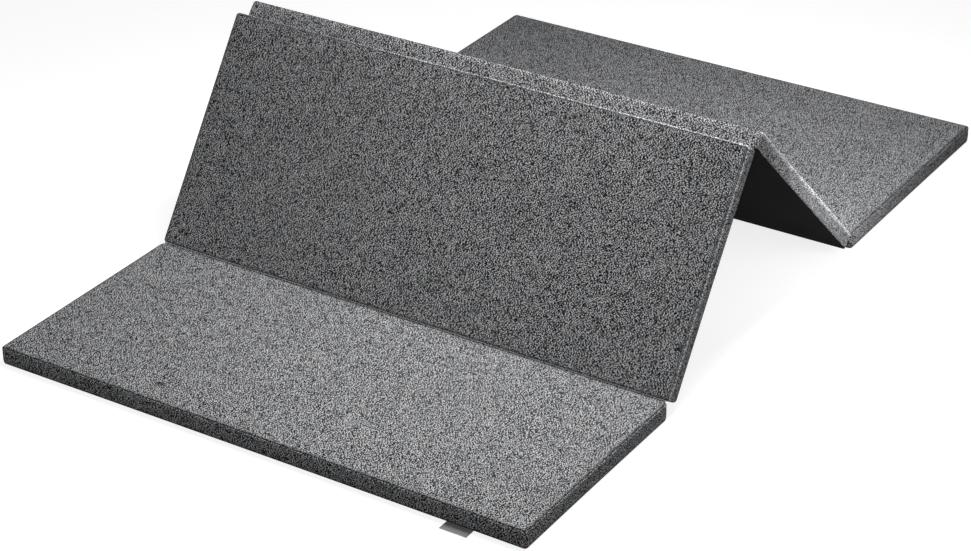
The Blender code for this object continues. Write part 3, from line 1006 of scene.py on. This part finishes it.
def makeFoldStrip(number):
    look = foldStripLook
    first, second = panels[number - 1], panels[number]
    angle = math.radians(second["pitch"] - first["pitch"])
    down = math.copysign(1, angle)
    sine, cosine = math.sin(abs(angle) / 2), math.cos(abs(angle) / 2)
    clearance = mattress["foldGap"] / 2 - mattress["touchGap"]

    def bent(offset):  # points of one face, from the free end of the first leg to that of the second
        meeting = offset / sine
        reaches = np.linspace(1, 0.06, look["legSteps"])
        leg = [(-offset, -down * look["legLength"] * share) for share in reaches]
        other = [(-u * math.cos(angle) - n * math.sin(angle), -u * math.sin(angle) + n * math.cos(angle))
                 for u, n in reversed(leg)]
        return leg + [(-meeting * sine, down * meeting * cosine)] + other

    outline = np.array(bent(clearance) + bent(clearance - look["thickness"])[::-1])
    columns = np.linspace(-look["halfWidth"], look["halfWidth"], look["columns"] + 1)
    generator = np.random.default_rng(3200 + number)
    sway = smoothNoise(generator, len(columns), 3) * look["sway"]
    points = []
    for x, shift in zip(columns, sway):
        reach = 1 + shift / look["legLength"]
        points += [(x, u * (reach if abs(u) > look["bendReach"] else 1), n * reach) for u, n in outline]
    places = np.concatenate([[0], np.cumsum(np.linalg.norm(np.diff(outline, axis=0), axis=1))])
    places = np.append(places, places[-1] + look["thickness"])
    faces, spots = tubeFaces(len(outline), len(columns))
    plan = [(columns[column], places[k]) for column, k in spots]
    plan += [(0, places[k]) for _ in (0, 1) for k in range(len(outline) // 2 - 1) for _ in range(4)]
    axis = foldAxes[f"fold_{number}"]
    turn = Matrix.Rotation(math.radians(first["pitch"]), 4, "X")
    piece = newPiece(f"foldStrip_{number}", points, faces, "melange", plan, Matrix.Translation(axis) @ turn, sharp=50)
    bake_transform(piece)
    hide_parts(f"fold_tape_{number}")


print("fold strips")
for number in (1, 2, 3):
    makeFoldStrip(number)


# ---- Zips: tape, coil and stitches; the slider and puller are the frame's own

zipLook = {
    "endRoom": 0.0004,  # from the slot's end to the tape's
    "tapeFace": 0.0005,
    "tapeThickness": 0.0007,
    "tapeHalf": 0.0041,
    "tapeRows": 9,
    "tapeStep": 0.006,
    "pitch": 0.00095,
    "firstTooth": 0.002,  # from the tape's end
    "crest": 0.0005,
    "toothHalf": 0.00032,
    "toothRise": 0.00055,
    "tooth": ((-0.00035, 0.70, -0.0002), (0.0001, 1.0, 0.0), (0.00087, 0.95, 0.0), (0.00145, 0.62, 0.0004)),
    "toothStretch": 1.35,
    "stopPlace": 0.0008,
    "stop": (0.0009, 0.0017),
    "stopFaces": ((-0.0006, 1.0), (0.00035, 0.82)),  # how far it stands out, and its size there
    "stitchPitch": 0.0034,
    "stitchLength": 0.0024,
    "stitchRadius": 0.00022,
    "stitchOffset": 0.0019,
    "stitch": ((-0.5, 0.35, 0.00032), (-0.3, 1.0, 0.0), (0.3, 1.0, 0.0), (0.5, 0.35, 0.00032)),
}
hexagon = [(math.cos(math.radians(60 * k)), math.sin(math.radians(60 * k))) for k in range(6)]


def addBead(points, faces, rings, order):
    # A six-sided bead through rings of points, closed at both ends; the order of corners turns it outward.
    base = len(points)
    points += [point for ring in rings for point in ring]
    for level in range(0, 6 * len(rings) - 6, 6):
        for k in range(6):
            after = (k + 1) % 6
            corners = [base + level + j for j in (k, after, 6 + after, 6 + k)]
            faces.append(tuple(corners[j] for j in order))
    first, last = tuple(range(base, base + 6)), tuple(range(len(points) - 6, len(points)))
    faces += [first[::-1], last] if order[1] == 1 else [first, last[::-1]]


def zipTape(look, low, high, middle):  # a flat band behind the coil
    face = -halfWidth + look["tapeFace"]
    back = face + look["tapeThickness"]
    rows = np.linspace(-look["tapeHalf"], look["tapeHalf"], look["tapeRows"])
    columns = np.linspace(low, high, round((high - low) / look["tapeStep"]))
    ring = [(face, n) for n in rows] + [(back, n) for n in rows[::-1]]
    points = [(x, u, middle + n) for u in columns for x, n in ring]
    faces, spots = tubeFaces(len(ring), len(columns), turned=True)
    plan = [(ring[k % len(ring)][1], columns[column]) for column, k in spots]
    plan += [(0, 0)] * (4 * len(faces) - len(plan))
    return points, faces, plan


def zipCoil(look, low, high, middle):  # interlocked teeth, and a stop at either end
    points, faces = [], []
    crest = -halfWidth - look["crest"] + look["toothRise"]
    for tooth in range(int((high - low - 2 * look["firstTooth"]) / look["pitch"])):
        u = low + look["firstTooth"] + (tooth + 0.5) * look["pitch"]
        side = 1 if tooth % 2 else -1
        rings = [[(crest + sink - look["toothRise"] * share * c,
                   u + look["toothHalf"] * share * s * look["toothStretch"], middle + side * reach)
                  for c, s in hexagon] for reach, share, sink in look["tooth"]]
        addBead(points, faces, rings, (0, 1, 2, 3) if side > 0 else (3, 2, 1, 0))
    along, up = look["stop"]
    for place in (low + look["stopPlace"], high - look["stopPlace"]):
        base = len(points)
        for out, spread in look["stopFaces"]:
            for du, dn in ((-along, -up), (along, -up), (along, up), (-along, up)):
                points.append((-halfWidth - out, place + du * spread, middle + dn * spread))
        faces += [tuple(base + k for k in (3, 2, 1, 0)), tuple(base + k for k in (4, 5, 6, 7))]
        faces += [tuple(base + k for k in (i, (i + 1) % 4, 4 + (i + 1) % 4, 4 + i)) for i in range(4)]
    return points, faces, None


def zipStitches(look, low, high, middle):  # a row of stitches along each side of the slot
    points, faces = [], []
    for side in (-1, 1):
        n = middle + side * (cushionLook["slotHalf"] + look["stitchOffset"])
        for stitch in range(int((high - low) / look["stitchPitch"])):
            u = low + (stitch + 0.5) * look["stitchPitch"]
            rings = [[(-halfWidth + sink - look["stitchRadius"] * thick * c,
                       u + share * look["stitchLength"], n + look["stitchRadius"] * thick * s)
                      for c, s in hexagon] for share, thick, sink in look["stitch"]]
            addBead(points, faces, rings, (0, 3, 2, 1))
    return points, faces, None


def makeZip(panel):
    look = zipLook
    number = panel["number"]
    low = mattress["zipEnd"] + look["endRoom"]
    parts = (("zipTape", zipTape, "tape", 40, "zip_coil"), ("zipCoil", zipCoil, "zip", 50, "zip_coil"),
             ("zipStitches", zipStitches, "thread", 60, "fold_tape"))
    for name, make, cloth, sharp, slot in parts:
        points, faces, plan = make(look, low, panel["length"] - low, mattress["zipHeight"])
        piece = newPiece(f"{name}_{number}", points, faces, cloth, plan, panelMatrix(panel), sharp=sharp)
        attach(piece, f"panel_{number}")
        if name == "zipTape":
            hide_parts(f"zip_chain_{number}")
    for node in (f"zip_slider_{number}", f"zip_puller_{number}"):
        own = frame["nodes"][node]
        own.data.materials.clear()
        own.data.materials.append(looks["metal"])


print("zips")
for panel in panels:
    makeZip(panel)


# ---- Bare label in the front seam

labelLook = {
    "width": labelPlace["width"],
    "reach": 0.022,
    "thickness": 0.0007,
    "rear": 0.0013,  # how far it goes into the seam
    "columns": 26,
    "rows": 12,
    "lift": 0.0004,
    "hem": (0.97, 0.35),  # from this share of the reach it is thinner by so much
}


def makeLabel():
    look = labelLook
    columns, rows = look["columns"], look["rows"]
    points = []
    for layer in (0, 1):
        for row in range(rows + 1):
            for column in range(columns + 1):
                a, b = column / columns, row / rows
                u = look["rear"] - b * (look["rear"] + look["reach"])
                ease = b ** 2 * (0.55 + 0.45 * math.cos(math.tau * (a * 1.3 + 0.1)))
                thin = 1 - look["hem"][1] * (b > look["hem"][0])
                n = mattress["touchGap"] + look["lift"] * ease
                n += look["thickness"] * (0.5 + (layer - 0.5) * thin)
                points.append((labelPlace["left"] + a * look["width"], u, n))
    across = columns + 1
    sheet = across * (rows + 1)
    faces = []
    for layer in (0, 1):
        for row in range(rows):
            for column in range(columns):
                a = layer * sheet + row * across + column
                quad = (a, a + across, a + across + 1, a + 1)
                faces.append(quad if layer else quad[::-1])
    rim = outlineOf(np.arange(sheet).reshape(rows + 1, across).T)
    faces += [(here, here + sheet, there + sheet, there) for here, there in zip(rim, np.roll(rim, -1))]
    plan = [points[index][:2] for f in faces for index in f]
    piece = newPiece("label", points, faces, "label", plan, panelMatrix(panels[0]), sharp=60)
    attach(piece, "panel_1")
    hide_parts("sewn_label")


makeLabel()
print("label")
